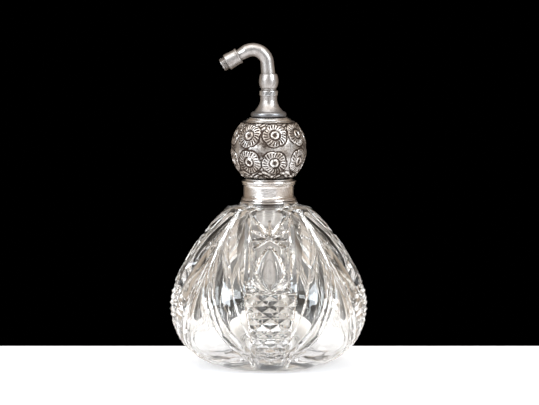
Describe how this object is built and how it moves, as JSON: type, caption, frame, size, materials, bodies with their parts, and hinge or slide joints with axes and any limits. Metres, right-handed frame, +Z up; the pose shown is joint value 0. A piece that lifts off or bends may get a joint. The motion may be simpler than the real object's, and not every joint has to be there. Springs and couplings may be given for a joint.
{
  "type": "perfume atomiser",
  "caption": "Pear-shaped cut-glass scent bottle with a chased silver globe, a lift pump inside and a bent nickel spray spout on a swivel.",
  "frame": {"origin": "middle of the base, on the surface that the bottle stands on", "axes": "+Z up along the bottle, the spout points to -X at rest, the viewer's side is -Y"},
  "size_m": [0.093, 0.093, 0.1523],
  "materials": {
    "cut_glass": "thick clear cut glass with a faint straw tint, polished",
    "silver": "worn polished silver with dark tarnish in the hollows",
    "nickel": "worn nickel plate, satin grey with fine pits",
    "brass": "turned brass, dulled",
    "steel": "bright ground steel",
    "thin_glass": "thin clear drawn glass tube",
    "cork": "pressed cork",
    "leather": "oiled brown leather",
    "felt": "greased cotton and felt packing",
    "plaster": "set plaster cement"
  },
  "bodies": {
    "bottle": {"bottle": "cut_glass", "collar": "silver", "collar_cement": "plaster", "neck_screw_ring": "brass"},
    "lower_washer": {"cork_washer": "cork"},
    "upper_washer": {"leather_washer": "leather"},
    "pump": {"gland_cap": "silver", "gland_packing": "felt", "packing_nut": "brass", "pump_barrel": "nickel", "foot_valve_body": "nickel", "foot_valve_pin": "steel", "dip_tube": "thin_glass", "strainer": "nickel"},
    "foot_ball": {"foot_valve_ball": "steel"},
    "plunger": {"piston_rod": "nickel", "piston_head": "brass", "piston_leather": "leather", "piston_nut": "brass", "discharge_pin": "steel", "globe_lower": "silver", "globe_upper": "silver", "globe_foot_plate": "silver", "globe_top_plate": "silver", "globe_spacer": "brass", "rod_nut_lower": "brass", "rod_nut_upper": "brass", "pedestal_washer": "silver", "pedestal": "nickel", "swivel_seal": "leather", "swivel_ring": "nickel"},
    "piston_ball": {"discharge_ball": "steel"},
    "spout": {"knuckle": "nickel", "spout_tube": "nickel", "spout_ferrule": "nickel"},
    "jet_seal": {"jet_washer": "leather"},
    "jet": {"jet": "nickel", "swirl_core": "brass", "jet_disc": "steel"}
  },
  "joints": [
    {"name": "head_lift", "type": "slide", "parent": "bottle", "child": "lower_washer", "axis": [0, 0, 1], "range_m": [0, 0.085]},
    {"name": "head_rise", "type": "slide", "parent": "lower_washer", "child": "upper_washer", "axis": [0, 0, 1], "range_m": [0, 0.003]},
    {"name": "head_turn", "type": "hinge", "parent": "upper_washer", "child": "pump", "pos_m": [0, 0, 0.0855], "axis": [0, 0, 1], "range_deg": [0, 1080]},
    {"name": "pump_stroke", "type": "slide", "parent": "pump", "child": "plunger", "axis": [0, 0, 1], "range_m": [0, 0.02]},
    {"name": "foot_valve_lift", "type": "slide", "parent": "pump", "child": "foot_ball", "axis": [0, 0, 1], "range_m": [0, 0.0009]},
    {"name": "discharge_valve_lift", "type": "slide", "parent": "plunger", "child": "piston_ball", "axis": [0, 0, 1], "range_m": [0, 0.0009]},
    {"name": "spout_swivel", "type": "hinge", "parent": "plunger", "child": "spout", "pos_m": [0, 0, 0.1338], "axis": [0, 0, 1], "continuous": true},
    {"name": "jet_travel", "type": "slide", "parent": "spout", "child": "jet_seal", "axis": [-0.866, 0, -0.5], "range_m": [0, 0.0032]},
    {"name": "jet_turn", "type": "hinge", "parent": "jet_seal", "child": "jet", "pos_m": [-0.01072, 0, 0.14832], "axis": [-0.866, 0, -0.5], "range_deg": [0, 1440]}
  ],
  "couplings": [
    {"joint": "head_rise", "follows": "head_turn", "m_per_rad": 0.00015915},
    {"joint": "jet_turn", "follows": "jet_travel", "rad_per_m": 7854}
  ]
}
